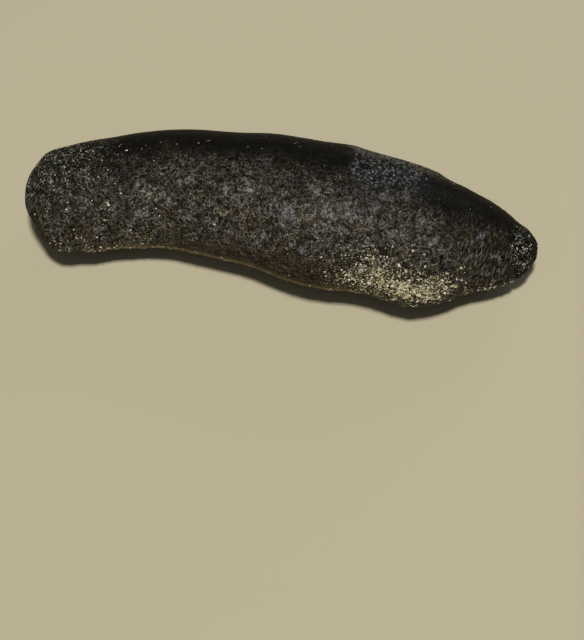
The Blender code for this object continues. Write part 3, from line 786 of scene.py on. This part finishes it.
for number in range(TENTACLES):
    angle = 2 * math.pi * (number + tentacle_draw.uniform(-0.12, 0.12)) / TENTACLES
    reach = (INNER_REACH if number % 2 else OUTER_REACH) * tentacle_draw.uniform(0.96, 1.04)
    size = tentacle_draw.uniform(0.9, 1.1)
    spoke = Vector((math.cos(angle), math.sin(angle), 0))
    sideways = (mouth_frame.to_3x3() @ spoke).xy.normalized()
    inner_edge = spoke * (LIP_MAJOR_RADIUS - LIP_MINOR_RADIUS)
    over_lip = mouth_frame @ (inner_edge + Vector((0, 0, LIP_STAND + 0.0006)))
    start = mouth_frame @ (spoke * CROWN_RADIUS * 0.7 + Vector((0, 0, -POCKET_DEPTH + 0.0006)))
    foot = mouth_middle.xy + sideways * reach
    shield_height = 0.0011 + tentacle_draw.uniform(0, 0.0005)
    knee_middle = foot.lerp(mouth_middle.xy + sideways * LIP_MAJOR_RADIUS, 0.35)
    knee = Vector((*knee_middle, max(shield_height + 0.0016, over_lip.z - 0.0008)))
    end = Vector((*foot, shield_height))
    tube = []
    for step in range(STALK_STEPS + 1):
        t = step / STALK_STEPS
        a, b, c, d = (1 - t) ** 3, 3 * t * (1 - t) ** 2, 3 * t**2 * (1 - t), t**3
        tube.append(start * a + over_lip * b + knee * c + end * d)
    previous = None
    for step, middle in enumerate(tube):
        ahead = tube[min(step + 1, STALK_STEPS)] - tube[max(step - 1, 0)]
        turn = Vector((0, 0, 1)).rotation_difference(ahead)
        wider = 1 + 0.10 * math.cos(step * 2.4) + 0.25 * (step / STALK_STEPS) ** 4
        radius = STALK_RADIUS * size * wider
        ring = []
        for side in range(STALK_SIDES):
            swing = 2 * math.pi * side / STALK_SIDES
            outwards = turn @ Vector((math.cos(swing), math.sin(swing), 0))
            ring.append(tentacle_form.verts.new(middle + outwards * radius))
        if previous:
            for side in range(STALK_SIDES):
                beside = (side + 1) % STALK_SIDES
                tentacle_form.faces.new((previous[side], previous[beside], ring[beside], ring[side]))
        else:
            tentacle_form.faces.new(reversed(ring))
        previous = ring
    tentacle_form.faces.new(previous)
    add_knob(tentacle_form, end, HUB_RADIUS * size, 0.5)
    for branch in range(SHIELD_BRANCHES):
        swing = 2 * math.pi * (branch + tentacle_draw.uniform(-0.2, 0.2)) / SHIELD_BRANCHES
        arm = Vector((math.cos(swing), math.sin(swing), 0)) * SHIELD_RADIUS * size
        add_knob(tentacle_form, end + arm * 0.55 + Vector((0, 0, -0.00008)), BRANCH_KNOB * size, 0.8)
        for fork in (-0.36, 0.36):
            tip = Matrix.Rotation(fork, 3, "Z") @ arm * tentacle_draw.uniform(0.82, 1.0)
            add_knob(tentacle_form, end + tip - Vector((0, 0, 0.0002)), TIP_KNOB * size, 0.9)
tentacle_mesh = bpy.data.meshes.new("tentacles")
tentacle_form.to_mesh(tentacle_mesh)
tentacle_form.free()
tentacle_mesh.shade_smooth()
tentacles = placed("tentacles", tentacle_mesh)

soft_tentacle, shader, tone = made_finish(
    "soft_tentacle", Specular_IOR_Level=0.4, Subsurface_Weight=0.12, Subsurface_Scale=0.001
)
spot = tone.spot()
down = tone.node("SeparateXYZ", {0: spot}, output=2).within(5.0, 1.2)
branch_grain = spot.grain(3.2, 2.0)
tentacle_colour = branch_grain.within(0.35, 0.65).mixed(rgb(58, 48, 38), rgb(104, 92, 74))
tentacle_colour = (down * 0.6).mixed(tentacle_colour, rgb(150, 136, 104))
bump = tone.node("Bump", {"Height": branch_grain, "Distance": 0.00008, "Strength": 0.8})
feed(shader, Base_Color=tentacle_colour, Roughness=0.4 + 0.2 * branch_grain, Normal=bump)
tentacle_mesh.materials.append(soft_tentacle)
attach(tentacles, "root")
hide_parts("tentacle_crown")


# Coral sand.
# Broken grains of coral and shell, cream to white with a few orange ones, that the slime of the skin
# holds: a dense patch on the near flank behind the middle, a beaded line along the lower edge, and dust.

GRAIN_SUNK = 0.32  # of a grain's size that lies in the skin
# Name, seed, how many, middle place and spread in mm, middle angle and spread in degrees, smallest and
# largest grain in mm
SAND_AREAS = (
    ("sand_patch", 21, 680, 115.3, 4.6, 158, 9, 0.35, 1.2),
    ("sand_trail", 28, 340, 102.0, 6.0, 165, 11, 0.26, 0.85),
    ("sand_dust", 27, 600, 110.0, 8.0, 158, 14, 0.14, 0.40),
    ("sand_scatter", 22, 460, 107.5, 7.0, 146, 13, 0.18, 0.66),
    ("sand_front", 23, 340, 11.0, 11.0, 62, 30, 0.14, 0.46),
    ("sand_rear", 24, 110, 143.6, 1.7, 112, 32, 0.16, 0.55),
    ("sand_far_edge", 25, 160, 106.0, 14.0, 30, 12, 0.12, 0.40),
    ("sand_back", 26, 300, 72.0, 44.0, 100, 42, 0.10, 0.34),
    ("sand_specks", 29, 150, 30.0, 15.0, 128, 36, 0.16, 0.70),
)
# Runs of the beaded line: start and end in mm, angle and spread in degrees, and how many grains
EDGE_RUNS = (
    (6, 16, 180, 12, 40), (15, 34, 190, 6, 130), (34, 54, 192, 4, 80), (54, 97, 194, 3, 110),
    (97, 128, 190, 5, 60), (128, 142, 184, 6, 80),
)
# Single larger grains: place in mm, angle in degrees, size in mm
LONE_GRAINS = (
    (19.3, 92, 0.8), (21.5, 58, 0.7), (23.8, 122, 0.9), (22.0, 138, 0.9), (12.6, 157, 0.8),
    (9.9, 178, 1.0), (28.0, 112, 0.6), (31.5, 128, 0.6), (52.0, 57, 0.6), (93.0, 46, 0.5),
    (95.6, 168, 0.7), (96.3, 165, 0.9), (97.0, 167, 0.8), (97.8, 166, 1.0), (98.7, 164, 0.8),
    (99.6, 165, 0.9), (100.6, 163, 0.7), (101.0, 141, 0.7), (102.2, 139, 0.8), (103.5, 140, 0.7),
    (104.6, 138, 0.6),
)
ball = bmesh.new()
bmesh.ops.create_icosphere(ball, subdivisions=1, radius=0.5)
ball.verts.ensure_lookup_table()
ball_points = np.array([v.co[:] for v in ball.verts])
ball_faces = np.array([[v.index for v in f.verts] for f in ball.faces])
ball.free()
fall = np.arccos(np.clip(ball_points[:, 2] * 2, -1, 1)) / math.pi
spin = np.arctan2(ball_points[:, 1], ball_points[:, 0])
ball_patch = np.stack((fall * np.cos(spin), fall * np.sin(spin)), axis=-1) * 0.0015


def add_grains(name, seed, roots):
    """One mesh of grains at (place, angle, size) roots, each its own shape, tone and patch of the map."""
    draw = np.random.default_rng(seed)
    grains, patches = [], []
    for place, angle, size in roots:
        point, out = skin_at(place * MM, angle)
        turn = np.array((Vector((0, 0, 1)).rotation_difference(out)).to_matrix())
        swing = draw.uniform(0, 2 * math.pi)
        swing_turn = np.array(Matrix.Rotation(swing, 3, "Z"))
        broken = ball_points * (1 + draw.uniform(-0.26, 0.26, (len(ball_points), 1)))
        broken = broken * (1.1, draw.uniform(0.45, 0.9), draw.uniform(0.35, 0.75)) @ swing_turn.T
        proud = np.array(out) * (0.35 - GRAIN_SUNK)
        grains.append(np.array(point) + (broken @ turn.T + proud) * size * MM)
        middle = (0.01 + 0.98 * place * MM / BODY_LENGTH, 0.01 + 0.98 * (angle + 90) / 360)
        patches.append(ball_patch + middle)
    count = len(roots)
    starts = np.arange(count)[:, None, None] * len(ball_points)
    faces = (ball_faces[None] + starts).reshape(-1, 3)
    mesh = bpy.data.meshes.new(name)
    mesh.from_pydata(np.concatenate(grains).tolist(), [], faces.tolist())
    patch_places = np.concatenate(patches)[faces.ravel()]
    mesh.uv_layers.new(name="OFBake").uv.foreach_set("vector", patch_places.astype(np.float32).ravel())
    tones = np.repeat(draw.uniform(0, 1, count), len(ball_points))
    layer = mesh.attributes.new("grain_tone", "FLOAT", "POINT")
    layer.data.foreach_set("value", tones.astype(np.float32))
    mesh.materials.append(coral_sand)
    grains_piece = placed(name, mesh)
    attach(grains_piece, "root")


coral_sand, shader, tone = made_finish("coral_sand", Specular_IOR_Level=0.4)
spot = tone.spot()
sand_stops = (
    (0.00, rgb(88, 79, 60)),
    (0.25, rgb(154, 142, 106)),
    (0.55, rgb(204, 195, 158)),
    (0.82, rgb(236, 231, 208)),
    (0.94, rgb(250, 248, 240)),
    (0.965, rgb(186, 146, 96)),
)
sand_colour = tone.node("ValToRGB", {0: tone.attribute("grain_tone")}, stops=sand_stops)
pitted = spot.grain(5.0, 3.0)
sand_colour = (pitted.within(0.62, 0.38) * 0.35).mixed(sand_colour, rgb(120, 104, 78))
bump = tone.node("Bump", {"Height": pitted, "Distance": 0.00006, "Strength": 0.7})
feed(shader, Base_Color=sand_colour, Roughness=0.5 + 0.3 * pitted, Normal=bump)

for name, seed, count, place, place_spread, angle, angle_spread, smallest, largest in SAND_AREAS:
    draw = np.random.default_rng(seed + 100)
    roots = []
    while len(roots) < count:
        at = draw.normal(place, place_spread)
        turn = draw.normal(angle, angle_spread)
        if 0.6 < at < 146.5 and -20 < turn < 204:
            clump = 0.5 + 0.5 * noise.noise((at / 2.6, turn / 9, seed))
            if draw.uniform() < clump**1.3 * 1.6:
                roots.append((at, turn, smallest + (largest - smallest) * draw.uniform() ** 2.2))
    add_grains(name, seed, roots)

# The beaded line of grains where the near flank turns under
edge_draw = np.random.default_rng(31)
edge_roots = []
for start, end, turn, spread, count in EDGE_RUNS:
    while count:
        at = edge_draw.uniform(start, end)
        size = 0.22 + 0.75 * edge_draw.uniform() ** 2
        if edge_draw.uniform() < 0.6 + 1.6 * noise.noise((at / 1.7, turn, 0)):
            edge_roots.append((at, edge_draw.normal(turn, spread), size))
            count -= 1
edge_roots += LONE_GRAINS
add_grains("sand_edge", 31, edge_roots)


# Floor, light and camera.
# A plain pale floor under soft studio light from nearly overhead, a little from the camera's side, with
# the camera where the photograph was taken from: high above the near flank.

FLOOR_SIZE = 8.0
PHOTO_TARGET = Vector((0.07745, -0.0280, 0.0))
PHOTO_EYE = Vector((0.07745, -0.22027, 0.48315))

bpy.ops.mesh.primitive_plane_add(size=FLOOR_SIZE, location=(0, 0, -0.00001))
floor = bpy.context.active_object
floor.name = "floor"
pale_floor, shader, tone = made_finish("pale_floor", Specular_IOR_Level=0.1, Roughness=0.9)
shader.inputs["Base Color"].default_value = rgb(186, 178, 154)
floor.data.materials.append(pale_floor)

world = bpy.data.worlds.new("studio")
world.use_nodes = True
world.node_tree.nodes["Background"].inputs["Color"].default_value = (0.95, 0.97, 1.0, 1)
world.node_tree.nodes["Background"].inputs["Strength"].default_value = 0.035
bpy.context.scene.world = world


def add_light(name, azimuth, elevation, distance, size, watts, colour):
    """A square soft box aimed at the model, with azimuth 0 on the camera's side, turning to its right."""
    light = bpy.data.lights.new(name, "AREA")
    light.size = size
    light.energy = watts
    light.color = colour
    lamp = bpy.data.objects.new(name, light)
    swing, rise = math.radians(azimuth), math.radians(elevation)
    away = Vector((math.sin(swing) * math.cos(rise), -math.cos(swing) * math.cos(rise), math.sin(rise)))
    lamp.location = away * distance
    lamp.rotation_euler = away.to_track_quat("Z", "Y").to_euler()
    bpy.context.scene.collection.objects.link(lamp)


add_light("overhead", 4, 85, 1.2, 0.12, 12.8, (1.0, 0.97, 0.90))
add_light("fill", -20, 62, 1.2, 1.0, 0.9, (1.0, 0.98, 0.94))
add_light("far_sky", 150, 20, 1.0, 0.4, 1.6, (0.84, 0.92, 1.0))

camera_data = bpy.data.cameras.new("photo_camera")
camera_data.lens = 100
camera_data.sensor_width = 36
camera = bpy.data.objects.new("photo_camera", camera_data)
camera.location = PHOTO_EYE + Vector(shift)
camera.rotation_euler = (PHOTO_TARGET - PHOTO_EYE).to_track_quat("-Z", "Y").to_euler()
bpy.context.scene.collection.objects.link(camera)
bpy.context.scene.camera = camera
bpy.context.scene.view_settings.view_transform = "Standard"
